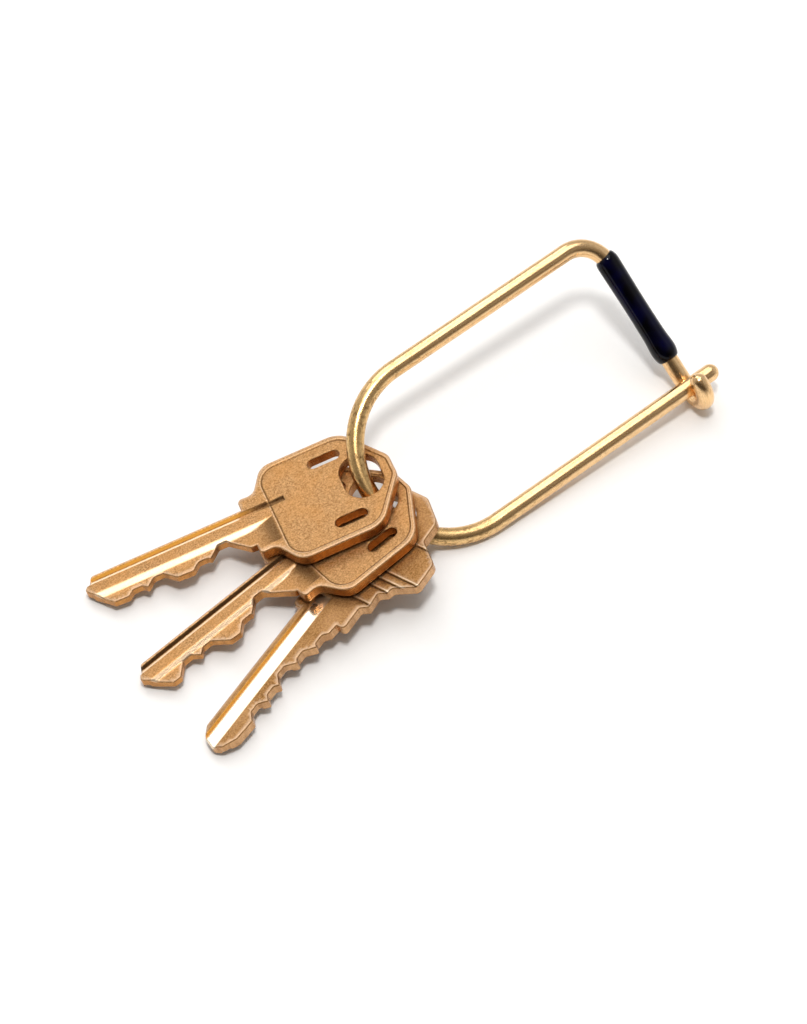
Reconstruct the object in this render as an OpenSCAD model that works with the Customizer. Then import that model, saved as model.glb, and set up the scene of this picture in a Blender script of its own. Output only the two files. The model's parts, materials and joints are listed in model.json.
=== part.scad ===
// Wire key ring with a hooked closure, and three flat keys threaded on it.
// The ring lies as on a table: its spring arm is low, and the stack of keys props up its far side.
// X runs along the ring's long sides towards the hook, Z is up, and the table is at Z = 0.

/* [Wire ring] */
// Diameter of the round brass wire
wire_d = 3; // [2.8:0.1:3.1]
// Width of the ring between the middles of its long sides
ring_w = 30; // [29:0.5:31]
// Length of the far long side, between its two bends
side_len = 35.5; // [34:0.5:38]
// Radius of the bend between the far side and the short side
corner_r = 5.5; // [5:0.5:7]
// Angle at which the short side drops below the ring, to pass under the spring arm
drop_angle = 6.2; // [6.1:0.1:6.8]
// How far the hook turns around the spring arm
hook_turn = 184; // [175:1:190]
// Length of the spring arm, from its flexing end to the middle of its round tip
arm_len = 41.6; // [41:0.1:43]

/* [Enamel] */
// Thickness of the enamel on the short side
enamel_t = 0.5; // [0.4:0.05:0.6]
// Length of the straight enamelled stretch
enamel_len = 17.5; // [14:0.5:18]

/* [Keys] */
// Thickness of a key
key_t = 2.1; // [1.9:0.1:2.2]
// Height of a blade
blade_h = 7.6; // [7.2:0.1:8.2]
// Distance from the ring hole's middle to the shoulder
shoulder_x = 20; // [19:0.5:21]
// Distance from the ring hole's middle to the end of the bow
bow_end = 5.4; // [5.2:0.1:5.8]
// Distance between neighbouring cuts of the bitting
cut_pitch = 3.8; // [3.6:0.1:4]
// Width of the ring hole, along the key
hole_w = 6.6; // [6.4:0.1:6.8]
// Height of the ring hole, across the key
hole_h = 9.2; // [9:0.1:9.4]

/* [Hidden] */
$fn = 48;

wire_r = wire_d / 2;
bend_r = ring_w / 2;
// Clearance round the spring arm's flexing end, and between the enamel and its wire
seam_gap = 0.05;
coat_gap = 0.01;
// Length of the straight stub between the round bend and the spring arm
stub_len = 3;
// Degrees of the corner bend that the enamel covers
coat_turn = 15;
// How far the bead at the enamel's other end stands proud
bead_t = 0.15;

// Pose of the ring: tilt about its long sides, rise towards the hook, and place of its round bend's centre
ring_tilt = 27;
ring_rise = 4.5;
ring_pos = [8.085, 2.02, 8.39];

// The hook is concentric with the spring arm, which the short side passes under
hook_y = ring_w * cos(drop_angle);
hook_r = ring_w * sin(drop_angle);

// Where each key crosses the wire: degrees round the bend below its middle
cross_angle = [-12, 3, 18];
// Direction of each key from tip to bow, seen from above
key_yaw = [-14.5, 3.5, 18];
// Rise of each key from tip to bow, per millimetre along X
key_rise = [0.107, 0.126, 0.146];
// Fall of every key towards +Y, per millimetre
key_fall = 0.2;
// How far each key's middle line lies from the wire, across the key
key_shift = [-0.4, -1, -1.2];

blade_low = -blade_h / 2;
cabinet_shoulder = shoulder_x + 1.6;
// Bitting: distance from the shoulder to the first cut, and the flat at the bottom of each cut
first_cut = 5;
cut_flat = 1.6;
// Half the height of a door key's bow, width of its rim, and depth of the sunk field inside the rim
bow_half = 10.7;
rim_w = 1;
field_depth = 0.15;
// Depth of the milled grooves, and how far they run past the tip
groove_depth = 0.6;
groove_end = -50;
// Grooves: where each one starts, its lower and upper edge, and its face (1 is the upper one)
door_grooves = [[-12.8, 2.2, 3.4, 1], [-15.7, blade_low - 1, -0.7, 1], [-15.7, 0.3, 1.4, -1]];
cabinet_grooves = [[-17.5, 0, 2.8, 1], [-17.5, -1.6, -0.5, -1]];
// Tips of the blades, from the cut edge to the back, as corners [x, y, radius]
door_tip = [[-44.5, blade_low + 1.2, 0.6], [-48.2, 1.4, 0.6], [-46.3, -blade_low, 0.6]];
cabinet_tip = [[-46, blade_low + 1.6, 1], [-48.4, -1, 1], [-49.2, 0.6, 0.8], [-48.4, 2.6, 0.8],
    [-46.4, -blade_low, 0.8]];
// Depth of each cut, from the shoulder to the tip
top_cuts = [3.2, 1.8, 0.3, 2.6, 2];
middle_cuts = [4, 2.2, 0.5, 3, 3.2];
bottom_cuts = [1, 2, 3, 2.2, 2.6];

function unit(v) = v / norm(v);

// Points of an arc of radius r that rounds the corner b between a and c
function corner_arc(a, b, c, r, steps = 6) =
    let (u = unit(a - b), v = unit(c - b), half = acos(u * v) / 2)
    let (p = b + u * r / tan(half), q = b + v * r / tan(half), m = b + unit(u + v) * r / sin(half))
    let (from = atan2(p.y - m.y, p.x - m.x), to = atan2(q.y - m.y, q.x - m.x))
    let (sweep = (to - from + 540) % 360 - 180)
    [for (i = [0:steps]) m + r * [cos(from + sweep * i / steps), sin(from + sweep * i / steps)]];

// Closed outline with every corner [x, y, r] rounded by its own radius
function rounded(corners) =
    let (n = len(corners), p = [for (c = corners) [c.x, c.y]])
    [for (i = [0:n - 1])
        each corners[i].z == 0 ? [p[i]]
            : corner_arc(p[(i + n - 1) % n], p[i], p[(i + 1) % n], corners[i].z)];

function mirrored(half) =
    concat(half, [for (i = [len(half) - 1:-1:0]) [half[i].x, -half[i].y, half[i].z]]);

// Point of the ring's own plane, moved to where the ring lies
function lie_point(x, y) =
    let (z = y * sin(ring_tilt))
    let (turned_x = x * cos(ring_rise) - z * sin(ring_rise))
    let (turned_z = x * sin(ring_rise) + z * cos(ring_rise))
    ring_pos + [turned_x, y * cos(ring_tilt), turned_z];

// Rotation of a key whose face falls as key_rise and key_fall say
function key_turn(rise, yaw) =
    let (n = unit([-rise, key_fall, 1]))
    let (along = unit([cos(yaw), sin(yaw), rise * cos(yaw) - key_fall * sin(yaw)]))
    let (turn = atan2(along.y, along.x))
    [asin(n.x * sin(turn) - n.y * cos(turn)), -asin(along.z), turn];

module lie_ring() {
    translate(ring_pos) rotate([ring_tilt, -ring_rise, 0]) children();
}

// Plane of the short side: it turns about the far side's line, so the bend stays smooth
module short_plane() {
    translate([side_len, bend_r, 0]) rotate([drop_angle, 0, 0]) children();
}

module rod(length, r) {
    cylinder(r = r, h = length);
}

module bend(radius, turn, r) {
    rotate_extrude(angle = turn) translate([radius, 0]) circle(r = r);
}

// Half a ball that rounds a wire's cut end, with its flat side on the end
module round_end() {
    rotate_extrude() intersection() {
        circle(r = wire_r);
        square(wire_r);
    }
}

// Short straight end of the round bend, hollowed so that the spring arm's round end can turn in it
module hollow_end() {
    rotate([0, 90, 0]) rotate_extrude() difference() {
        square([wire_r, stub_len]);
        translate([0, stub_len]) circle(r = wire_r + seam_gap);
    }
}

module hook() {
    translate([corner_r, -hook_y, hook_r]) rotate([0, 90, 0]) rotate([0, 0, -hook_turn]) {
        bend(hook_r, hook_turn, wire_r);
        translate([hook_r, 0, 0]) rotate([90, 0, 0]) round_end();
    }
}

module short_side(r, length, turn) {
    translate([0, -corner_r, 0]) bend(corner_r, turn, r);
    translate([corner_r, -corner_r, 0]) rotate([90, 0, 0]) rod(length, r);
}

module ring_wire() {
    color("goldenrod") lie_ring() {
        rotate([0, 0, 90]) bend(bend_r, 180, wire_r);
        translate([0, bend_r, 0]) rotate([0, 90, 0]) rod(side_len, wire_r);
        translate([0, -bend_r, 0]) hollow_end();
        short_plane() {
            short_side(wire_r, hook_y - corner_r, 90);
            hook();
        }
    }
}

// The same wire's straight spring side: its round end stands for the place where the wire flexes
module spring_arm() {
    color("goldenrod") lie_ring() translate([stub_len, -bend_r, 0]) rotate([0, 90, 0]) {
        rotate([180, 0, 0]) round_end();
        rod(arm_len, wire_r);
        translate([0, 0, arm_len]) round_end();
    }
}

// Coat of enamel: it starts in the corner bend and ends in a bead above the bare wire
module enamel_coat() {
    coat_r = wire_r + enamel_t;
    color("midnightblue") lie_ring() short_plane() difference() {
        union() {
            short_side(coat_r, enamel_len, coat_turn);
            translate([corner_r, -corner_r - enamel_len, 0]) sphere(r = coat_r + bead_t);
        }
        short_side(wire_r + coat_gap, enamel_len + 2 * coat_r, 2 * coat_turn);
    }
}

// Bow of the two door keys: rounded lips at the shoulders, straight sides and a blunt end
function door_bow() = mirrored([
    [-shoulder_x, 6.1, 0.8], [-shoulder_x + 2.8, 5.9, 1.8], [-shoulder_x + 5.6, bow_half, 3],
    [-0.2, bow_half, 4.5], [bow_end, 2.2, 2.5]]);

// Sunk field of a door key's bow, inside its rim
function door_field() = mirrored([
    [-shoulder_x + 4.7, bow_half - rim_w, 3.2], [-0.6, bow_half - rim_w, 3.8],
    [bow_end - 0.7 * rim_w, 1.8, 2]]);

// Bow of the cabinet key: stepped flanks, a lobe at each corner, and a tongue round the ring hole
function cabinet_bow() = mirrored([
    [-cabinet_shoulder, 5.3, 0.8], [-17.2, 5.2, 0.4], [-16.4, 6.5, 0.5], [-13.6, 6.3, 0.4],
    [-12.8, 7.6, 0.5], [-11.7, 7.8, 0.8], [-9.6, 11.4, 1.2], [-4.7, 11.2, 1.5],
    [-1.9, 7.1, 0.8], [2.2, 6.9, 2.2], [bow_end, 2.6, 1.8]]);

// One outline for a whole key: round its bow, then along the blade from one shoulder to the other
function key_outline(bow, shoulder, tip) =
    rounded(concat(bow, [[-shoulder, blade_low, 0]], tip, [[-shoulder, -blade_low, 0]]));

module ring_hole() {
    for (side = [-1, 1]) translate([0, side * (hole_h - hole_w) / 2]) circle(d = hole_w);
    square([hole_w, hole_h - hole_w], center = true);
}

module slot(length, width) {
    for (side = [-1, 1]) translate([side * (length - width) / 2, 0]) circle(d = width);
    square([length - width, width], center = true);
}

// Cuts of the bitting along the lower edge of a blade
module bitting(depths) {
    for (i = [0:len(depths) - 1])
        translate([-shoulder_x - first_cut - i * cut_pitch, blade_low])
            polygon([[-cut_flat / 2, depths[i]], [cut_flat / 2, depths[i]],
                [cut_flat / 2 + depths[i] + 1, -1], [-cut_flat / 2 - depths[i] - 1, -1]]);
}

module plate(thickness) {
    translate([0, 0, -thickness / 2]) linear_extrude(thickness) children();
}

module grooves(rows) {
    for (row = rows)
        translate([groove_end, row[1], row[3] * key_t / 2 - groove_depth])
            cube([row[0] - groove_end, row[2] - row[1], 2 * groove_depth]);
}

module lie_key(i) {
    translate(lie_point(-bend_r * cos(cross_angle[i]), -bend_r * sin(cross_angle[i])))
        rotate(key_turn(key_rise[i], key_yaw[i])) children();
}

// Door key: a sunk field inside the bow's rim, and two slots beside the ring hole
module door_key(depths, shift) {
    translate([0, shift, 0]) difference() {
        plate(key_t) difference() {
            polygon(key_outline(door_bow(), shoulder_x, door_tip));
            bitting(depths);
            translate([0, -shift]) ring_hole();
            for (side = [-1, 1]) translate([-4.4, side * 6.8]) slot(5.6, 2);
        }
        for (face = [-1, 1]) translate([0, 0, face * key_t / 2])
            plate(2 * field_depth) polygon(rounded(door_field()));
        grooves(door_grooves);
    }
}

module top_key() {
    color("peru") lie_key(0) door_key(top_cuts, key_shift[0]);
}

module middle_key() {
    color("peru") lie_key(1) door_key(middle_cuts, key_shift[1]);
}

module bottom_key() {
    color("peru") lie_key(2) translate([0, key_shift[2], 0]) difference() {
        plate(key_t) difference() {
            polygon(key_outline(cabinet_bow(), cabinet_shoulder, cabinet_tip));
            bitting(bottom_cuts);
            translate([0, -key_shift[2]]) ring_hole();
        }
        grooves(cabinet_grooves);
    }
}

ring_wire();
spring_arm();
enamel_coat();
top_key();
middle_key();
bottom_key();
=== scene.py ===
"""Looks of a bent brass wire key ring with three keys threaded on it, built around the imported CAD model.

Lengths are in millimetres until they become vertices, which are in metres in the frame of the CAD model.
"""

import json
import math

import bpy
import numpy as np
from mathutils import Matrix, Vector
from mathutils.geometry import delaunay_2d_cdt


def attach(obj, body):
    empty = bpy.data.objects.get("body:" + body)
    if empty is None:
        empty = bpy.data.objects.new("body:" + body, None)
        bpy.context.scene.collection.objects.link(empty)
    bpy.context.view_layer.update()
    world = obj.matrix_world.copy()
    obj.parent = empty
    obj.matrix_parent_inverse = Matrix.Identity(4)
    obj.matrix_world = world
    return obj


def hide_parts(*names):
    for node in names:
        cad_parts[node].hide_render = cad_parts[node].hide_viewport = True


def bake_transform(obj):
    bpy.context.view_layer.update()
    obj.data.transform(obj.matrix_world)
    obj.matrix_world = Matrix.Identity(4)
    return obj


MM = 0.001
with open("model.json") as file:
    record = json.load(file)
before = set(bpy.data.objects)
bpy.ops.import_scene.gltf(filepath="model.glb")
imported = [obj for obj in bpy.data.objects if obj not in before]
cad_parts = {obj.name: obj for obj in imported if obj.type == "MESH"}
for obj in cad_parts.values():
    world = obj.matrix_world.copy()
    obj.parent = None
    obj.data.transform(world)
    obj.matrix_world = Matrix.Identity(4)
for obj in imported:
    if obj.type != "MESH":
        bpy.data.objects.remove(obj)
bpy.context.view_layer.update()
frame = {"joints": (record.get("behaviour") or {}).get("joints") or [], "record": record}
record = frame["record"]
mounts = {m["name"]: m for m in record["mounts"]}
joints = {j["name"]: j for j in frame["joints"]}

# The ring's own frame, read from the record: its axes, the centre of its round bend, and the bend's radius
ring_x = np.array(mounts["carry_side"]["axis"])
ring_y = np.array(mounts["key_bend"]["axis"])
ring_z = np.cross(ring_x, ring_y)
bend_point = np.array(mounts["key_bend"]["pos_m"])
BEND_R = float(np.dot(np.array(mounts["carry_side"]["pos_m"]) - bend_point, ring_y)) / MM
ring_centre = bend_point + ring_x * BEND_R * MM

# Wire ring
WIRE_R = 1.494
SIDE_LEN = 35.5
CORNER_R = 5.5
DROP_ANGLE = math.radians(6.2)
HOOK_TURN = math.radians(184)
STUB_LEN = 3.0
ARM_LEN = 41.6
SEAM_ANGLE = math.radians(250)
HOOK_Y = 2 * BEND_R * math.cos(DROP_ANGLE)
HOOK_R = 2 * BEND_R * math.sin(DROP_ANGLE)
WIRE_SIDES = 56
HOOK_STEPS = 60

# Enamel
ENAMEL_T = 0.5
ENAMEL_LEN = 17.5
ENAMEL_TURN = math.radians(15)
BEAD_T = 0.15
BORE_GAP = 0.01

# Keys
KEY_T = 2.1
BLADE_LOW = -3.8
SHOULDER_X = 20.0
CABINET_SHOULDER = 21.6
BOW_END = 5.4
BOW_HALF = 10.7
RIM_W = 1.0
FIRST_CUT = 5.0
CUT_PITCH = 3.8
CUT_FLAT = 1.6
HOLE_W = 6.6
HOLE_H = 9.2
EDGE_R = 0.22
HOLE_EDGE_R = 0.12
# Where the pale line along a key's rounded edge lies, and its width: partly rubbed wear, partly a painted
# highlight on the ridge.
WEAR_AND_SHEEN_AT = 0.2
WEAR_AND_SHEEN_W = 0.09
KEY_SHARP = 46
OUTLINE_STEP = 0.3
CORNER_STEPS = 8
GRID_STEP = 0.7
PLAN_SCALE = 0.9995

# The camera stands at this angle to the left of the -Y side
CAMERA_AZIMUTH = math.radians(37.1)


# ---------------------------------------------------------------- geometry helpers

def ring_to_frame(points):
    """Points of the ring's own frame, in millimetres, as points of the CAD frame in metres."""
    p = np.atleast_2d(points) * MM
    return ring_centre + np.outer(p[:, 0], ring_x) + np.outer(p[:, 1], ring_y) + np.outer(p[:, 2], ring_z)


def short_plane(points):
    """Points of the short side's plane, which drops about the far side's line, in the ring's own frame."""
    p = np.atleast_2d(points)
    c, s = math.cos(DROP_ANGLE), math.sin(DROP_ANGLE)
    return np.stack([SIDE_LEN + p[:, 0], BEND_R + p[:, 1] * c - p[:, 2] * s, p[:, 1] * s + p[:, 2] * c], 1)


def arc(centre, radius, start, end, step=0.25):
    """Points of a flat arc from one angle to another, both included."""
    n = max(2, int(abs(end - start) * radius / step) + 1)
    a = np.linspace(start, end, n)
    return np.stack([centre[0] + radius * np.cos(a), centre[1] + radius * np.sin(a), np.zeros(n)], 1)


def line(a, b, step=0.5):
    n = max(2, int(np.linalg.norm(np.subtract(b, a)) / step) + 1)
    return np.linspace(a, b, n)


def joined(*runs):
    """Several runs of points as one path, without the doubled points where they meet."""
    path = [runs[0][0]]
    for run in runs:
        path += [p for p in run if np.linalg.norm(p - path[-1]) > 1e-6]
    return np.array(path)


def lengths(path):
    return np.concatenate([[0], np.cumsum(np.linalg.norm(np.diff(path, axis=0), axis=1))])


def with_dome(path, radii):
    """Adds half a ball past the path's last point."""
    direction = path[-1] - path[-2]
    direction = direction / np.linalg.norm(direction)
    turn = np.linspace(0, math.pi / 2, 15)[1:]
    path = np.vstack([path, path[-1] + WIRE_R * np.sin(turn)[:, None] * direction])
    return path, np.concatenate([radii, radii[-1] * np.maximum(np.cos(turn), 0.02)])


def new_object(name, vertices, faces, attributes=None, vectors=None, sharp_angle=35):
    """A smooth-shaded mesh object with creases above sharp_angle, and per-vertex values for its material."""
    mesh = bpy.data.meshes.new(name)
    mesh.from_pydata([tuple(v) for v in vertices], [], faces)
    mesh.validate()
    for key, values in (attributes or {}).items():
        mesh.attributes.new(key, "FLOAT", "POINT").data.foreach_set("value", np.asarray(values, np.float32))
    for key, values in (vectors or {}).items():
        layer = mesh.attributes.new(key, "FLOAT_VECTOR", "POINT")
        layer.data.foreach_set("vector", np.asarray(values, np.float32).ravel())
    mesh.shade_smooth()
    mesh.set_sharp_from_angle(angle=math.radians(sharp_angle))
    obj = bpy.data.objects.new(name, mesh)
    bpy.context.scene.collection.objects.link(obj)
    return obj


def sweep(name, path, radii, way=1, inner_r=None):
    """A round tube along a path in millimetres. Its wire_pos is the straightened wire's own position.

    A path that runs backwards along the wire has the way -1, so that its pattern meets the other one's.
    """
    n, sides = len(path), WIRE_SIDES
    tangents = np.gradient(path, axis=0)
    tangents /= np.linalg.norm(tangents, axis=1)[:, None]
    up = np.array([0.0, 0.0, 1.0])
    normals = [up - tangents[0] * np.dot(up, tangents[0])]
    for t in tangents[1:]:
        normals.append(normals[-1] - t * np.dot(normals[-1], t))
    normals = np.array([v / np.linalg.norm(v) for v in normals])
    sideways = np.cross(tangents, normals)
    angles = np.linspace(0, 2 * math.pi, sides, endpoint=False)
    spokes = np.cos(angles)[None, :, None] * normals[:, None]
    spokes = spokes + np.sin(angles)[None, :, None] * sideways[:, None]
    along = lengths(path) * way

    def skin(r):
        points = (path[:, None] + spokes * r[:, None, None]).reshape(-1, 3)
        own = np.stack([np.repeat(along, sides), np.outer(r, np.cos(angles)).ravel(),
                        way * np.outer(r, np.sin(angles)).ravel()], 1)
        return points, own

    def band(first, second, flip=False):
        quads = [(first + k, first + (k + 1) % sides, second + (k + 1) % sides, second + k)
                 for k in range(sides)]
        return [q[::-1] for q in quads] if flip else quads

    points, own = skin(np.asarray(radii, float))
    faces = [q for i in range(n - 1) for q in band(i * sides, (i + 1) * sides)]
    if inner_r is None:
        faces.append(tuple(range(sides))[::-1])
        faces.append(tuple((n - 1) * sides + k for k in range(sides)))
    else:
        inside, inside_own = skin(np.full(n, inner_r))
        base = len(points)
        points, own = np.vstack([points, inside]), np.vstack([own, inside_own])
        faces += [q for i in range(n - 1) for q in band(base + i * sides, base + (i + 1) * sides, True)]
        faces += band(0, base, True)
        faces += band((n - 1) * sides, base + (n - 1) * sides)
    return new_object(name, ring_to_frame(points), faces, vectors={"wire_pos": own})


# ---------------------------------------------------------------- wire and enamel

def corner_and_short_side(from_turn, length):
    """Path of the corner bend's last part, from_turn before the short side, and of the short side itself."""
    corner = arc((0, -CORNER_R), CORNER_R, from_turn, 0)
    side = line((CORNER_R, -CORNER_R, 0), (CORNER_R, -CORNER_R - length, 0))
    return short_plane(joined(corner, side))


def hook_path():
    a = np.linspace(0, HOOK_TURN, HOOK_STEPS)
    out, up = HOOK_R * np.sin(a), HOOK_R * (1 - np.cos(a))
    return short_plane(np.stack([np.full(HOOK_STEPS, CORNER_R), -HOOK_Y - out, up], 1))


def make_ring_wire():
    path = joined(arc((0, 0), BEND_R, SEAM_ANGLE, math.pi / 2),
                  line((0, BEND_R, 0), (SIDE_LEN, BEND_R, 0)),
                  corner_and_short_side(math.pi / 2, HOOK_Y - CORNER_R), hook_path())
    path, radii = with_dome(path, np.full(len(path), WIRE_R))
    wire = sweep("wire_loop", path, radii)
    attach(wire, "ring")
    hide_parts("ring_wire")
    return wire


def make_arm():
    """The spring side, from the same cut through the round bend, so that it bends away from it smoothly."""
    bend = arc((0, 0), BEND_R, SEAM_ANGLE, 1.5 * math.pi)
    path = joined(bend, line((0, -BEND_R, 0), (STUB_LEN + ARM_LEN, -BEND_R, 0)))
    path, radii = with_dome(path, np.full(len(path), WIRE_R))
    arm = sweep("wire_arm", path, radii, way=-1)
    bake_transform(arm)
    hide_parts("spring_arm")
    return arm


def make_enamel():
    """Dipped coat: rounded where it starts, thin in the middle, and thickest in a bead at its free end."""
    bead_reach = 1.5
    path = corner_and_short_side(ENAMEL_TURN, ENAMEL_LEN + bead_reach)
    s = lengths(path)
    fine = np.linspace(0, s[-1], 150)
    path = np.stack([np.interp(fine, s, path[:, k]) for k in range(3)], 1)
    total = s[-1]
    body = ENAMEL_T * (0.9 + 0.1 * np.cos(2 * math.pi * fine / total))
    bead = BEAD_T * np.exp(-((fine - (total - bead_reach - 0.6)) / 1.6) ** 2)
    start_lip, end_lip = 1.5, 1.7
    rise = np.sqrt(np.clip(1 - (1 - np.minimum(fine / start_lip, 1)) ** 2, 0, 1))
    fall = np.sqrt(np.clip(1 - (1 - np.minimum((total - fine) / end_lip, 1)) ** 2, 0, 1))
    radii = WIRE_R + 2 * BORE_GAP + (body + bead) * rise * fall
    enamel = sweep("enamel_dip", path, radii, inner_r=WIRE_R + BORE_GAP)
    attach(enamel, "ring")
    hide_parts("enamel_coat")
    return enamel


# ---------------------------------------------------------------- keys

def rounded(corners):
    """Closed outline with every corner (x, y, radius) rounded."""
    out = []
    for i, (x, y, r) in enumerate(corners):
        b = np.array([x, y])
        if r == 0:
            out.append(b)
            continue
        a, c = np.array(corners[i - 1][:2]), np.array(corners[(i + 1) % len(corners)][:2])
        u, v = (a - b) / np.linalg.norm(a - b), (c - b) / np.linalg.norm(c - b)
        half = math.acos(np.clip(u @ v, -1, 1)) / 2
        p, q = b + u * r / math.tan(half), b + v * r / math.tan(half)
        m = b + (u + v) / np.linalg.norm(u + v) * r / math.sin(half)
        start = math.atan2(*(p - m)[::-1])
        turn = (math.atan2(*(q - m)[::-1]) - start + math.pi) % (2 * math.pi) - math.pi
        for k in range(CORNER_STEPS + 1):
            angle = start + turn * k / CORNER_STEPS
            out.append(m + r * np.array([math.cos(angle), math.sin(angle)]))
    return np.array(out)


def mirrored(half):
    return list(half) + [(x, -y, r) for x, y, r in reversed(half)]


def door_bow():
    """Bow of the two door keys: rounded lips at the shoulders, straight sides and a blunt end."""
    return mirrored([(-SHOULDER_X, 6.1, 0.8), (-SHOULDER_X + 2.8, 5.9, 1.8),
                     (-SHOULDER_X + 5.6, BOW_HALF, 3), (-0.2, BOW_HALF, 4.5), (BOW_END, 2.2, 2.5)])


def door_field():
    """Sunk field of a door key's bow, inside its rim."""
    return mirrored([(-SHOULDER_X + 4.7, BOW_HALF - RIM_W, 3.2), (-0.6, BOW_HALF - RIM_W, 3.8),
                     (BOW_END - 0.7 * RIM_W, 1.8, 2)])


def cabinet_bow():
    """Bow of the cabinet key: stepped flanks, a lobe at each corner, and a tongue round the ring hole."""
    return mirrored([(-CABINET_SHOULDER, 5.3, 0.8), (-17.2, 5.2, 0.4), (-16.4, 6.5, 0.5), (-13.6, 6.3, 0.4),
                     (-12.8, 7.6, 0.5), (-11.7, 7.8, 0.8), (-9.6, 11.4, 1.2), (-4.7, 11.2, 1.5),
                     (-1.9, 7.1, 0.8), (2.2, 6.9, 2.2), (BOW_END, 2.6, 1.8)])


def cut_edge(depths, shoulder, tip_corner):
    """Lower edge of a blade from its shoulder to the tip: the deepest of all its cuts at each place."""
    x = np.arange(-shoulder - 0.15, tip_corner[0], -0.15)
    share = (x + shoulder) / (tip_corner[0] + shoulder)
    y = BLADE_LOW + share * (tip_corner[1] - BLADE_LOW)
    for i, depth in enumerate(depths):
        middle = -SHOULDER_X - FIRST_CUT - i * CUT_PITCH
        y = np.maximum(y, BLADE_LOW + depth - np.maximum(np.abs(x - middle) - CUT_FLAT / 2, 0))
    soft = np.convolve(np.pad(y, 1, mode="edge"), [0.25, 0.5, 0.25], "valid")
    return [(px, py, 0) for px, py in zip(x, soft)]


def resampled(loop, step=OUTLINE_STEP):
    """The same closed loop with its long stretches divided, and no points closer than 0.05 mm."""
    out = []
    for a, b in zip(loop, np.roll(loop, -1, axis=0)):
        n = max(1, int(math.ceil(np.linalg.norm(b - a) / step)))
        out += [a + (b - a) * k / n for k in range(n)]
    kept = [out[0]]
    for p in out[1:]:
        if np.linalg.norm(p - kept[-1]) > 0.05 and np.linalg.norm(p - kept[0]) > 0.05:
            kept.append(p)
    return np.array(kept)


def stadium(length, width, centre=(0, 0), upright=False):
    """Closed loop of a slot with round ends."""
    reach, r = (length - width) / 2, width / 2
    right = arc((reach, 0), r, -math.pi / 2, math.pi / 2)[:, :2]
    left = arc((-reach, 0), r, math.pi / 2, 1.5 * math.pi)[:, :2]
    loop = np.vstack([right, left])
    if upright:
        loop = np.stack([-loop[:, 1], loop[:, 0]], 1)
    return loop + np.array(centre)


def inside(points, loop):
    """Which points lie inside a closed loop."""
    x, y = points[:, 0][:, None], points[:, 1][:, None]
    a, b = loop, np.roll(loop, -1, axis=0)
    crosses = (a[:, 1] > y) != (b[:, 1] > y)
    at = (b[:, 0] - a[:, 0]) * (y - a[:, 1]) / np.where(b[:, 1] == a[:, 1], 1, b[:, 1] - a[:, 1]) + a[:, 0]
    return (crosses & (x < at)).sum(1) % 2 == 1


def distance(points, loops):
    """Distance of each point to the nearest of some closed loops."""
    best = np.full(len(points), 1e9)
    for loop in loops:
        a, d = loop, np.roll(loop, -1, axis=0) - loop
        for block in range(0, len(points), 2000):
            p = points[block:block + 2000, None] - a
            t = np.clip((p * d).sum(2) / (d * d).sum(1), 0, 1)
            gap = np.linalg.norm(p - t[..., None] * d, axis=2).min(1)
            best[block:block + 2000] = np.minimum(best[block:block + 2000], gap)
    return best


def ramp(value, low, high):
    t = np.clip((value - low) / (high - low), 0, 1)
    return t * t * (3 - 2 * t)


class Feature:
    """Something cut in a key's face. Tone is painted shade down to -1, or polish with a painted highlight up
    to 1, and a second value from 0 to 1 paints an orange reflection.
    """

    def cut(self, p):
        return np.zeros(len(p))

    def tone(self, p):
        return np.zeros(len(p))

    def painted_reflection(self, p):
        return np.zeros(len(p))


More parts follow.
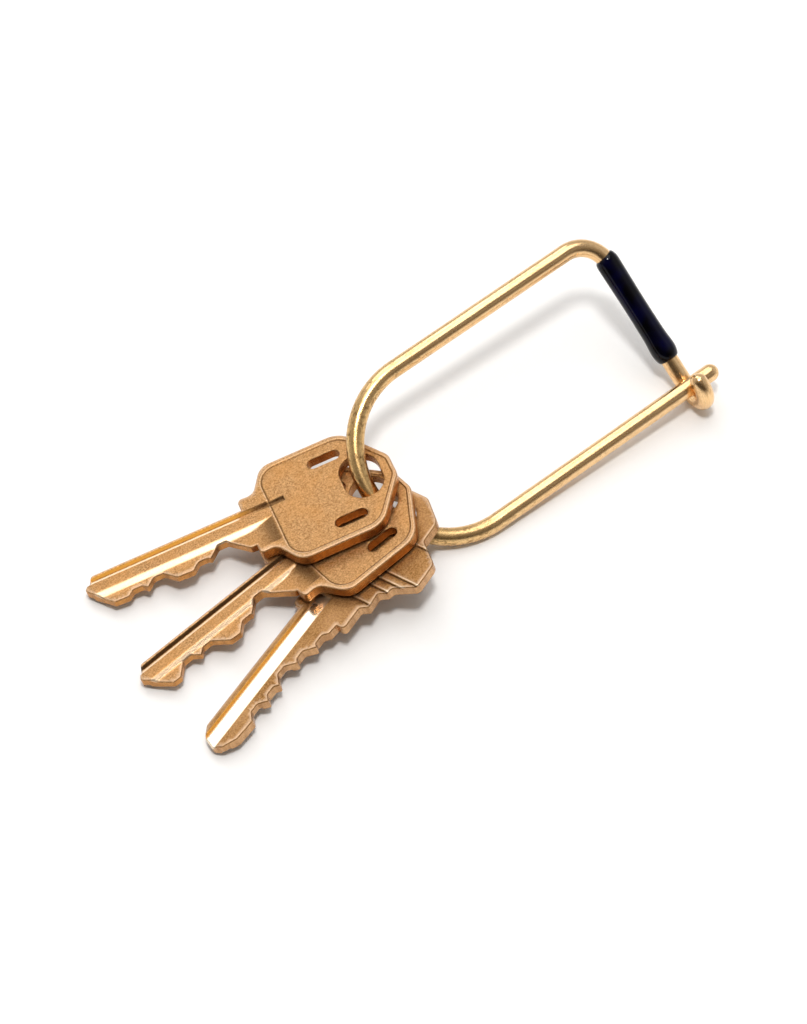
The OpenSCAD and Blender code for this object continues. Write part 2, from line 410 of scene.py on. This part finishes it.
class Groove(Feature):
    """A milled groove along the blade. Its cutter lifts out of the metal over the run-out at its end.

    A band (low, high, tone, end) paints a strip along the groove darker or brighter, as far as its own end: a
    bright band is polish with a painted highlight, and a dark one is painted shade. The gold strip (low, high)
    is a painted orange reflection, of the kind a steep wall shows when it mirrors the groove's own floor. The
    end tone paints shade on the floor where the cutter lifts out, and where the cut is deep the last few
    millimetres are made darker.
    """

    def __init__(self, end, low, high, depth, walls=(0.12, 0.12), run_out=0.4, bands=(), gold=None,
                 end_tone=0.0, end_darkening=0.0):
        self.end, self.low, self.high, self.depth = end, low, high, depth
        self.walls, self.run_out = walls, run_out
        self.bands, self.gold, self.end_tone, self.end_darkening = bands, gold, end_tone, end_darkening

    def lift(self, x):
        return np.clip((x - (self.end - self.run_out)) / self.run_out, 0, 1) ** 2

    def across(self, p):
        """Share of the full depth at each place across the groove, walls included."""
        rise = np.clip((p[:, 1] - self.low) / self.walls[0], 0, 1)
        return rise * np.clip((self.high - p[:, 1]) / self.walls[1], 0, 1)

    def cut(self, p):
        return self.depth * np.minimum(self.across(p), 1 - self.lift(p[:, 0]))

    def strip(self, p, low, high, end):
        share = np.clip((p[:, 1] - low) / (high - low), 0, 1)
        return np.clip(6 * share * (1 - share), 0, 1) * (1 - ramp(p[:, 0], end - 0.6, end + 0.01))

    def tone(self, p):
        tone = np.zeros(len(p))
        for low, high, value, end in self.bands:
            tone += value * self.strip(p, low, high, end)
        # Past the run-out the band tones give way to the end tone, painted shade on the rising floor.
        lift = self.lift(p[:, 0])
        floor = ramp(self.across(p) - (1 - lift), -0.12, 0.0)
        leaving = floor * ramp(lift, 0.2, 0.75)
        tone = tone * (1 - leaving) + self.end_tone * leaving * ramp(self.cut(p), 0.0, 0.06)
        # Where the cut is deep, the groove's last few millimetres are made darker.
        end_darkened = self.end_darkening * ramp(p[:, 0], self.end - 6.5, self.end - 3) * ramp(self.cut(p), 0.05, 0.2)
        return tone * (1 - end_darkened) - 0.75 * end_darkened

    def painted_reflection(self, p):
        # Painted orange reflection along the gold strip, fading out towards the groove's end.
        if self.gold is None:
            return np.zeros(len(p))
        return self.strip(p, *self.gold, self.end) * (1 - ramp(p[:, 0], self.end - 9, self.end - 4))

    def points(self):
        edges = [self.low, self.low + self.walls[0], self.high - self.walls[1], self.high]
        strips = [band[:2] for band in self.bands] + ([self.gold] if self.gold else [])
        edges += [low + (high - low) * share for low, high in strips for share in (0, 0.2, 0.5, 0.8, 1)]
        x = np.arange(-50, self.end + 0.01, 0.35)
        rows = [(px, y) for y in edges for px in x]
        x = np.append(np.arange(self.end - self.run_out, self.end, 0.25), [self.end, self.end + 0.05])
        wall = self.walls[1] * (1 - self.lift(x))
        for share in (0, 0.2, 0.5, 0.8, 1, 1.2):
            rows += [(px, self.high - w * share) for px, w in zip(x, wall)]
        rows += [(px, y) for px in x for y in np.arange(max(self.low, -6), self.high, 0.25)]
        return np.array(rows)


class Score(Feature):
    """A fine line scored across a key at one place along it, with painted shade in it and a painted highlight
    on its far side.
    """

    def __init__(self, x, width=0.16, depth=0.14):
        self.x, self.width, self.depth = x, width, depth

    def cut(self, p):
        return self.depth * np.clip(1 - np.abs(p[:, 0] - self.x) / self.width, 0, 1)

    def tone(self, p):
        beside = p[:, 0] - self.x
        # Painted highlight beside the line and painted shade in it.
        return 0.5 * np.exp(-((beside - 0.32) / 0.14) ** 2) - np.exp(-(beside / 0.12) ** 2)

    def points(self):
        y = np.arange(-12, 12, 0.35)
        return np.array([(self.x + dx, py) for dx in (-self.width, 0, self.width, 0.32, 0.5) for py in y])


class Field(Feature):
    """The sunk field of a bow, with a line pressed round its border, painted shade in that line and a thin
    painted highlight beside it.
    """

    def __init__(self, loop, depth=0.08, line_depth=0.12, line_w=0.14):
        self.loop, self.depth, self.line_depth, self.line_w = loop, depth, line_depth, line_w

    def outward(self, p):
        away = distance(p, [self.loop])
        return np.where(inside(p, self.loop), -away, away)

    def cut(self, p):
        out = self.outward(p)
        pressed = self.line_depth * np.clip(1 - np.abs(out) / self.line_w, 0, 1)
        return self.depth * np.clip(-out / 0.1, 0, 1) + pressed

    def tone(self, p):
        out = self.outward(p)
        # Painted highlight on the rim beside the line and painted shade in the pressed line.
        return 0.3 * np.exp(-((out - 0.26) / 0.07) ** 2) - 0.8 * np.exp(-(out / 0.1) ** 2)

    def points(self):
        t = np.roll(self.loop, -1, axis=0) - np.roll(self.loop, 1, axis=0)
        n = np.stack([t[:, 1], -t[:, 0]], 1) / np.linalg.norm(t, axis=1)[:, None]
        return np.vstack([self.loop + n * k for k in (-0.38, -0.24, -0.12, 0, 0.12, 0.26, 0.4)])


def face_points(loops, features):
    """Where a key's face needs vertices: a grid, rows inside its edges, and every feature's own rows."""
    low, high = loops[0].min(0), loops[0].max(0)
    rows = []
    for k, y in enumerate(np.arange(low[1], high[1], GRID_STEP)):
        x = np.arange(low[0] + (k % 2) * GRID_STEP / 2, high[0], GRID_STEP)
        rows.append(np.stack([x, np.full(len(x), y)], 1))
    points = [np.vstack(rows)] + [f.points() for f in features]
    for loop in loops:
        t = np.roll(loop, -1, axis=0) - np.roll(loop, 1, axis=0)
        n = np.stack([t[:, 1], -t[:, 0]], 1) / np.linalg.norm(t, axis=1)[:, None]
        edge_r = EDGE_R if loop is loops[0] else HOLE_EDGE_R
        points += [loop + n * k for r in (0.35, 0.7, 1.0) for k in (edge_r * r, -edge_r * r)]
    points = np.vstack(points)
    keep = inside(points, loops[0])
    for hole in loops[1:]:
        keep &= ~inside(points, hole)
    points = points[keep]
    points = points[distance(points, loops) > 0.05]
    return points[np.unique(np.round(points / 0.06).astype(int), axis=0, return_index=True)[1]]


def enclosed(triangles, loops):
    """Which triangles lie inside the first loop and outside the others, given as lists of vertex numbers.

    It walks from triangle to triangle and changes sides at each edge of a loop, so slivers come out right too.
    """
    walls = {frozenset((a, b)) for loop in loops for a, b in zip(loop, loop[1:] + loop[:1])}
    sides = [[frozenset((t[k], t[(k + 1) % 3])) for k in range(3)] for t in triangles.tolist()]
    owners = {}
    for i, edges in enumerate(sides):
        for edge in edges:
            owners.setdefault(edge, []).append(i)
    outermost = next(edge for edge, owned in owners.items() if len(owned) == 1)
    queue = list(owners[outermost])
    state = {queue[0]: outermost in walls}
    while queue:
        i = queue.pop()
        for edge in sides[i]:
            for j in owners[edge]:
                if j not in state:
                    state[j] = state[i] != (edge in walls)
                    queue.append(j)
    return np.array([state[i] for i in range(len(sides))])


def key_face(loops, features):
    """(points, triangles, rim) of one face, where rim gives the vertices that each loop's points became."""
    boundary = np.vstack(loops)
    edges, start = [], 0
    for loop in loops:
        edges += [(start + k, start + (k + 1) % len(loop)) for k in range(len(loop))]
        start += len(loop)
    points = np.vstack([boundary, face_points(loops, features)])
    made = delaunay_2d_cdt([Vector(p) for p in points], edges, [], 0, 1e-6)
    where, triangles = np.array([tuple(v) for v in made[0]]), np.array(made[2])
    became = {given: made_index for made_index, ids in enumerate(made[3]) for given in ids}
    rim, start = [], 0
    for loop in loops:
        rim.append([became[start + k] for k in range(len(loop))])
        where[rim[-1]] = loop
        start += len(loop)
    return where, triangles[enclosed(triangles, rim)], rim


def face_height(p, loops, features):
    """Height of a key's face above its middle plane: features cut in, and the edges rounded over."""
    height = KEY_T / 2 - np.max([f.cut(p) for f in features], axis=0)
    for edge_loops, r in ((loops[:1], EDGE_R), (loops[1:], HOLE_EDGE_R)):
        d = np.minimum(distance(p, edge_loops), r)
        height -= r - np.sqrt(np.maximum(r ** 2 - (r - d) ** 2, 0))
    return height


def make_key(name, node, joint, yaw, shift, loops, top, bottom):
    """A key from its outline, holes and faces' features, placed where its joint says it crosses the wire."""
    loops = [resampled(loop) for loop in loops]
    vertices, faces, walls, tones, painted_reflections, edge = [], [], [], [], [], []
    rim = {}
    for side, features in ((1, top), (-1, bottom)):
        where, triangles, face_rim = key_face(loops, features)
        height = face_height(where, loops, features)
        start = len(vertices)
        vertices += [(x, y, side * z) for (x, y), z in zip(where, height)]
        first, second, third = (where[triangles[:, k]] for k in range(3))
        area = np.cross(second - first, third - first)
        way = side if area.sum() > 0 else -side
        faces += [tuple(start + i for i in t[::way]) for t in triangles.tolist()]
        away = distance(where, loops[:1])
        walls += [0.0] * len(where)
        # Per-vertex values that paint light: tone for painted highlight and shade, a second for the orange
        # reflection, and the edge line, partly wear and partly a painted highlight.
        tones += list(np.clip(sum(f.tone(where) for f in features), -1, 1))
        painted_reflections += list(sum(f.painted_reflection(where) for f in features))
        edge += list(np.exp(-((away - WEAR_AND_SHEEN_AT) / WEAR_AND_SHEEN_W) ** 2))
        rim[side] = [[start + i for i in loop] for loop in face_rim]
    for upper, lower, loop in zip(rim[1], rim[-1], loops):
        rows = [upper]
        for share in (0.04, 0.5, 0.96):
            start = len(vertices)
            for u, w in zip(upper, lower):
                a, b = np.array(vertices[u]), np.array(vertices[w])
                vertices.append(tuple(a + (b - a) * share))
            walls += [1.0] * len(loop)
            tones += [0.0] * len(loop)
            painted_reflections += [0.0] * len(loop)
            edge += [0.0] * len(loop)
            rows.append(list(range(start, start + len(loop))))
        rows.append(lower)
        x, y = loop[:, 0], loop[:, 1]
        turns_left = (x * np.roll(y, -1) - np.roll(x, -1) * y).sum() > 0
        outward = turns_left == (loop is loops[0])
        for a, b in zip(rows[:-1], rows[1:]):
            for k in range(len(loop)):
                quad = (a[k], b[k], b[(k + 1) % len(loop)], a[(k + 1) % len(loop)])
                faces.append(quad if outward else quad[::-1])
    normal = np.array(joints[joint]["axis"])
    normal = normal / np.linalg.norm(normal)
    heading = np.array([math.cos(yaw), math.sin(yaw), 0.0])
    along = heading - np.array([0, 0, 1.0]) * (normal @ heading) / normal[2]
    along = along / np.linalg.norm(along)
    across = np.cross(normal, along)
    own = np.array(vertices)
    own[:, :2] *= PLAN_SCALE
    own[:, 1] += shift
    crossing = np.array(joints[joint]["pos_m"])
    placed = np.outer(own[:, 0], along) + np.outer(own[:, 1], across) + np.outer(own[:, 2], normal)
    placed = crossing + MM * placed
    values = {"wall": walls, "tone": tones, "painted_reflection": painted_reflections, "edge": edge}
    key = new_object(name, placed, faces, values, {"key_pos": own}, KEY_SHARP)
    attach(key, node)
    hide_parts(node)
    return key


def door_key(name, node, joint, yaw, shift, depths, slope, shaded_back_wall):
    """A door key. Its lower groove has a slanted wall, slope wide, and its upper one may have painted shade on
    its back wall.
    """
    tip_low = (-44.5, BLADE_LOW + 1.2)
    bow = door_bow() + [(-SHOULDER_X, BLADE_LOW, 0)]
    tip = [(*tip_low, 0), (-48.2, 1.4, 0.6), (-46.3, -BLADE_LOW, 0.6), (-SHOULDER_X, -BLADE_LOW, 0)]
    outline = rounded(bow + cut_edge(depths, SHOULDER_X, tip_low) + tip)
    hole = stadium(HOLE_H, HOLE_W, (0, -shift), upright=True)
    slots = [stadium(5.6, 2, (-4.4, side * 6.8)) for side in (-1, 1)]
    field = Field(resampled(rounded(door_field()), 0.35))
    upper_end = -12.8
    # Bright strips paint a highlight where the upper groove's floor mirrors the panel; the dark strip paints
    # shade on its back wall.
    if shaded_back_wall:
        strips, gold = [(2.15, 2.9, 0.45, upper_end), (2.9, 3.4, -1.0, upper_end)], None
    else:
        strips, gold = [(2.15, 2.95, 0.5, -SHOULDER_X - 0.5)], (2.95, 3.4)
    upper = Groove(upper_end, 2.1, 3.4, 0.55, walls=(0.1, 0.45), run_out=0.1, bands=strips, gold=gold,
                   end_darkening=1.0)
    # The lower groove's band is polish with a painted highlight on its slanted wall, and its end tone paints
    # shade where the cutter lifts out; the back groove's band is a painted highlight too.
    lower = Groove(-15.6, -5.0, 0.2, 0.6, walls=(0.12, slope), run_out=8.0,
                   bands=[(0.2 - slope, 0.2, 0.4, -15.6)], end_tone=-0.7)
    back = Groove(-15.6, 0.3, 1.4, 0.5, run_out=2.0, bands=[(0.4, 1.3, 0.4, -15.6)])
    return make_key(name, node, joint, yaw, shift, [outline, hole, *slots], [upper, lower, field],
                    [back, field])


def cabinet_key(name, node, joint, yaw, shift, depths):
    tip_low = (-46.0, BLADE_LOW + 1.6)
    bow = cabinet_bow() + [(-CABINET_SHOULDER, BLADE_LOW, 0)]
    tip = [(*tip_low, 0), (-48.4, -1, 1), (-49.2, 0.6, 0.8), (-48.4, 2.6, 0.8), (-46.4, -BLADE_LOW, 0.8),
           (-CABINET_SHOULDER, -BLADE_LOW, 0)]
    outline = rounded(bow + cut_edge(depths, CABINET_SHOULDER, tip_low) + tip)
    hole = stadium(HOLE_H, HOLE_W, (0, -shift), upright=True)
    # The bands paint a highlight on the polished floors of both grooves, brightest short of the upper one's
    # end.
    top = [Groove(-17.5, 0.0, 2.8, 0.5, walls=(0.15, 0.15), run_out=0.3,
                  bands=[(0.1, 2.7, 0.55, -19.4), (0.1, 2.7, 0.45, -17.5)], gold=(2.6, 2.85))]
    top += [Score(x) for x in (-16.0, -12.8, -11.1, -9.6, -3.2)]
    bottom = [Groove(-17.5, -1.6, -0.5, 0.45, run_out=2.5, bands=[(-1.5, -0.6, 0.5, -17.5)])]
    return make_key(name, node, joint, yaw, shift, [outline, hole], top, bottom)


# ---------------------------------------------------------------- materials

class Nodes:
    """A short way to write a material's node tree."""

    def __init__(self, name):
        self.material = bpy.data.materials.new(name)
        self.material.use_nodes = True
        self.tree = self.material.node_tree
        self.shader = self.tree.nodes["Principled BSDF"]

    def add(self, kind, inputs=None, **settings):
        node = self.tree.nodes.new(kind)
        for key, value in settings.items():
            setattr(node, key, value)
        for key, value in (inputs or {}).items():
            self.set(node.inputs[key], value)
        return node

    def set(self, socket, value):
        if isinstance(value, bpy.types.NodeSocket):
            self.tree.links.new(value, socket)
        else:
            socket.default_value = value

    def attribute(self, name):
        return self.add("ShaderNodeAttribute", attribute_name=name)

    def stretched(self, vector, scale):
        return self.add("ShaderNodeMapping", {"Vector": vector, "Scale": scale}).outputs["Vector"]

    def noise(self, vector, scale, detail=4.0, roughness=0.55):
        inputs = {"Vector": vector, "Scale": scale, "Detail": detail, "Roughness": roughness}
        return self.add("ShaderNodeTexNoise", inputs).outputs["Fac"]

    def range(self, value, from_min, from_max, to_min, to_max):
        inputs = {"Value": value, "From Min": from_min, "From Max": from_max}
        inputs.update({"To Min": to_min, "To Max": to_max})
        return self.add("ShaderNodeMapRange", inputs).outputs["Result"]

    def mix(self, factor, a, b):
        node = self.add("ShaderNodeMix", data_type="RGBA")
        self.set(node.inputs["Factor"], factor)
        self.set(node.inputs["A"], a)
        self.set(node.inputs["B"], b)
        return node.outputs["Result"]

    def math(self, operation, a, b):
        node = self.add("ShaderNodeMath", operation=operation)
        self.set(node.inputs[0], a)
        self.set(node.inputs[1], b)
        return node.outputs[0]

    def bump(self, height, strength, distance_m):
        inputs = {"Height": height, "Strength": strength, "Distance": distance_m}
        return self.add("ShaderNodeBump", inputs).outputs["Normal"]

    def finish(self, **sockets):
        for key, value in sockets.items():
            self.set(self.shader.inputs[key.replace("_", " ")], value)
        return self.material


def wire_brass():
    """Drawn brass wire: fine lines along it, tarnish where the keys rub, and small dents from use."""
    n = Nodes("drawn brass wire")
    place = n.attribute("wire_pos").outputs["Vector"]
    along = n.add("ShaderNodeSeparateXYZ", {"Vector": place}).outputs["X"]
    near_keys = n.range(n.math("ABSOLUTE", n.math("SUBTRACT", along, 18.0), 0.0), 10.0, 34.0, 1.0, 0.3)
    lines = n.noise(n.stretched(place, (0.12, 6.0, 6.0)), 1.0, 4.0)
    patches = n.noise(place, 0.5, 3.0)
    handled = n.range(near_keys, 0.3, 1.0, 0.0, 1.0)
    specks = n.noise(n.stretched(place, (1.6, 3.6, 3.6)), 1.0, 6.0, 0.65)
    tarnish = n.math("MULTIPLY", n.range(patches, 0.38, 0.58, 0.15, 1.0), near_keys)
    dark = n.math("MULTIPLY", n.range(specks, 0.46, 0.58, 0.0, 1.0), tarnish)
    base = n.mix(n.range(lines, 0.3, 0.7, 0.0, 1.0), (0.84, 0.52, 0.24, 1), (0.95, 0.67, 0.37, 1))
    golden = n.mix(n.math("MULTIPLY", handled, 0.6), base, (0.7, 0.45, 0.16, 1))
    colour = n.mix(dark, golden, (0.22, 0.12, 0.045, 1))
    dents = n.math("MULTIPLY", n.math("MULTIPLY", specks, near_keys), 0.8)
    height = n.math("ADD", n.math("MULTIPLY", lines, 0.5), dents)
    rough = n.math("ADD", n.range(specks, 0.3, 0.75, 0.17, 0.27), n.math("MULTIPLY", dark, 0.12))
    rough = n.math("ADD", rough, n.math("MULTIPLY", handled, 0.06))
    return n.finish(Base_Color=colour, Metallic=1.0, Roughness=rough, Normal=n.bump(height, 0.3, 0.00005))


def key_brass(name, face, pale, wall):
    """Tumbled key brass: a grainy satin face, pale edges that are partly rubbed wear and partly painted
    highlight, polished grooves with painted highlights, painted shade and a painted orange reflection, and
    streaked cut walls.
    """
    n = Nodes(name)
    place = n.attribute("key_pos").outputs["Vector"]
    tone, painted_reflection = n.attribute("tone").outputs["Fac"], n.attribute("painted_reflection").outputs["Fac"]
    # Tone above 0 mixes in a painted highlight and a smoother finish; tone below 0 mixes in painted shade.
    bright, dim = n.range(tone, 0.0, 1.0, 0.0, 1.0), n.range(tone, 0.0, -1.0, 0.0, 0.85)
    grain = n.noise(place, 3.6, 6.0, 0.8)
    clouds = n.noise(place, 0.22, 3.0)
    scratches = n.noise(n.stretched(place, (0.4, 7.0, 7.0)), 1.0, 4.0)
    streaks = n.noise(n.stretched(place, (1.3, 1.3, 0.35)), 1.0, 3.0, 0.5)
    base = n.mix(n.range(grain, 0.38, 0.62, 0.0, 1.0), face, pale)
    aged = n.mix(n.range(clouds, 0.42, 0.72, 0.0, 0.4), base, wall)
    # Pale line along the edges: partly rubbed wear, partly a painted highlight.
    wear_and_sheen = n.mix(n.math("MULTIPLY", n.attribute("edge").outputs["Fac"], 0.4), aged, (0.9, 0.7, 0.52, 1))
    polish_and_highlight = n.mix(bright, wear_and_sheen, (0.97, 0.84, 0.64, 1))
    shaded = n.mix(dim, polish_and_highlight, (0.05, 0.025, 0.012, 1))
    # Painted orange reflection on the gold strips; the metal is made less metallic there so that the lamps
    # light it.
    golden = n.mix(painted_reflection, shaded, (1.0, 0.48, 0.07, 1))
    sides = n.mix(n.range(streaks, 0.38, 0.66, 0.0, 0.55), wall, (0.26, 0.105, 0.03, 1))
    at_wall = n.attribute("wall").outputs["Fac"]
    colour = n.mix(at_wall, golden, sides)
    polished = n.range(bright, 0.0, 1.0, 1.0, 0.45)
    rough = n.math("MULTIPLY", n.range(grain, 0.3, 0.7, 0.34, 0.52), polished)
    rough = n.math("MULTIPLY", rough, n.range(at_wall, 0.0, 1.0, 1.0, 0.55))
    relief = n.range(bright, 0.1, 0.9, 0.7, 0.04)
    height = n.math("ADD", n.math("MULTIPLY", grain, 0.8), n.math("MULTIPLY", scratches, 0.2))
    return n.finish(Base_Color=colour, Metallic=n.range(painted_reflection, 0.0, 1.0, 1.0, 0.15), Roughness=rough,
                    Normal=n.bump(height, relief, 0.00012))


def enamel():
    """Thick glossy navy enamel, nearly black, with slight waves from dipping."""
    n = Nodes("dipped navy enamel")
    place = n.attribute("wire_pos").outputs["Vector"]
    waves = n.noise(place, 0.3, 1.0)
    black, navy = (0.0001, 0.0001, 0.0012, 1), (0.0003, 0.0004, 0.016, 1)
    colour = n.mix(n.range(waves, 0.4, 0.65, 0.0, 1.0), black, navy)
    return n.finish(Base_Color=colour, Roughness=n.range(waves, 0.3, 0.7, 0.05, 0.1), Specular_IOR_Level=0.2,
                    Normal=n.bump(waves, 0.1, 0.0002))


def floor_white():
    n = Nodes("white paper")
    grain = n.noise(n.add("ShaderNodeTexCoord").outputs["Object"], 900.0, 3.0)
    shade = n.mix(grain, (0.96, 0.96, 0.96, 1), (0.985, 0.985, 0.985, 1))
    return n.finish(Base_Color=shade, Roughness=0.9)


# ---------------------------------------------------------------- studio

def area_light(name, place, target, size, power, colour=(1, 1, 1)):
    data = bpy.data.lights.new(name, "AREA")
    data.shape = "RECTANGLE"
    data.size, data.size_y = size
    data.energy = power
    data.color = colour
    light = bpy.data.objects.new(name, data)
    light.location = place
    light.rotation_euler = (Vector(target) - Vector(place)).to_track_quat("-Z", "Y").to_euler()
    bpy.context.scene.collection.objects.link(light)
    return light


def studio_walls(ahead):
    """A world that is pale behind the object and low down all round, and dim and warm in front of it.

    The dim side gives the wire its dark band, and the dim top keeps the shadow deep.
    """
    world = bpy.data.worlds.new("studio")
    world.use_nodes = True
    n = world.node_tree.nodes
    link = world.node_tree.links.new

    def graded(value, span):
        """Maps the first two numbers of a span to its last two."""
        node = n.new("ShaderNodeMapRange")
        for key, setting in zip(("From Min", "From Max", "To Min", "To Max"), span):
            node.inputs[key].default_value = setting
        link(value, node.inputs["Value"])
        return node.outputs["Result"]

    place = n.new("ShaderNodeTexCoord").outputs["Generated"]
    facing = n.new("ShaderNodeVectorMath")
    facing.operation = "DOT_PRODUCT"
    facing.inputs[1].default_value = ahead
    link(place, facing.inputs[0])
    height = n.new("ShaderNodeSeparateXYZ")
    link(place, height.inputs[0])
    sides = graded(facing.outputs["Value"], (-0.75, 0.0, 0.07, 0.62))
    ceiling = graded(height.outputs["Z"], (0.68, 0.92, 1.0, 0.3))
    walls = n.new("ShaderNodeMath")
    walls.operation = "MULTIPLY"
    link(sides, walls.inputs[0])
    link(ceiling, walls.inputs[1])
    low_band = graded(height.outputs["Z"], (0.13, 0.24, 0.85, 0.0))
    level = n.new("ShaderNodeMath")
    level.operation = "MAXIMUM"
    link(walls.outputs[0], level.inputs[0])
    link(low_band, level.inputs[1])
    warmth = n.new("ShaderNodeMix")
    warmth.data_type = "RGBA"
    link(graded(level.outputs[0], (0.1, 0.5, 0.0, 1.0)), warmth.inputs["Factor"])
    warmth.inputs["A"].default_value = (1, 0.86, 0.68, 1)
    warmth.inputs["B"].default_value = (1, 0.99, 0.98, 1)
    link(level.outputs[0], n["Background"].inputs["Strength"])
    link(warmth.outputs["Result"], n["Background"].inputs["Color"])
    return world


def make_studio():
    """White floor, a small overhead lamp for the shadow, and large soft panels for the metal to reflect."""
    half = 1.5
    floor = bpy.data.meshes.new("floor")
    corners = [(-half, -half, 0), (half, -half, 0), (half, half, 0), (-half, half, 0)]
    floor.from_pydata(corners, [], [(0, 1, 2, 3)])
    floor.materials.append(floor_white())
    stage = bpy.data.objects.new("floor", floor)
    bpy.context.scene.collection.objects.link(stage)
    centre = Vector(ring_centre)
    ahead = Vector((math.sin(CAMERA_AZIMUTH), math.cos(CAMERA_AZIMUTH), 0))
    above = Vector((0, 0, 1.0))
    lamp_place = centre + above - ahead * 0.12
    area_light("overhead lamp", lamp_place, centre, (0.16, 0.16), 4.4, (1, 0.985, 0.965))
    area_light("top panel", centre + ahead * 0.27 + above * 0.93, centre, (0.8, 0.72), 3.8)
    area_light("key panel", centre + Vector((0.14, 0.88, 0.8)), centre, (0.6, 0.35), 1.8)
    bpy.context.scene.world = studio_walls(ahead)
    bpy.context.scene.view_settings.view_transform = "Standard"


def make_camera():
    """Camera that looks down on the ring from the near left, with the ring right of and above the middle."""
    elevation, far = math.radians(57), 0.55
    flat = math.cos(elevation)
    back = Vector((-math.sin(CAMERA_AZIMUTH) * flat, -math.cos(CAMERA_AZIMUTH) * flat, math.sin(elevation)))
    data = bpy.data.cameras.new("camera")
    data.sensor_width = 36
    data.lens = 118.7
    data.shift_x, data.shift_y = -0.0411, -0.0652
    data.clip_start, data.clip_end = 0.01, 20
    camera = bpy.data.objects.new("camera", data)
    camera.location = Vector(ring_centre) + back * far
    camera.rotation_euler = (-back).to_track_quat("-Z", "Y").to_euler()
    bpy.context.scene.collection.objects.link(camera)
    bpy.context.scene.camera = camera


# ---------------------------------------------------------------- the whole object

make_camera()
make_studio()
brass = wire_brass()
for piece in (make_ring_wire(), make_arm()):
    piece.data.materials.append(brass)
make_enamel().data.materials.append(enamel())

door_brass = key_brass("tumbled door key brass", face=(0.25, 0.115, 0.04, 1), pale=(0.7, 0.41, 0.18, 1),
                       wall=(0.6, 0.28, 0.08, 1))
cabinet_brass = key_brass("tumbled cabinet key brass", face=(0.18, 0.08, 0.026, 1), pale=(0.5, 0.27, 0.1, 1),
                          wall=(0.62, 0.36, 0.17, 1))
DOOR_KEYS = (("door_key_upper", "top_key", -14.5, -0.4, (3.2, 1.8, 0.3, 2.6, 2), 1.2, False),
             ("door_key_middle", "middle_key", 3.5, -1.0, (4, 2.2, 0.5, 3, 3.2), 0.8, True))
for name, node, yaw, shift, depths, slope, shaded_back_wall in DOOR_KEYS:
    key = door_key(name, node, node + "_swing", math.radians(yaw), shift, depths, slope, shaded_back_wall)
    key.data.materials.append(door_brass)
low_key = cabinet_key("cabinet_key", "bottom_key", "bottom_key_swing", math.radians(18), -1.2,
                      (1, 2, 3, 2.2, 2.6))
low_key.data.materials.append(cabinet_brass)
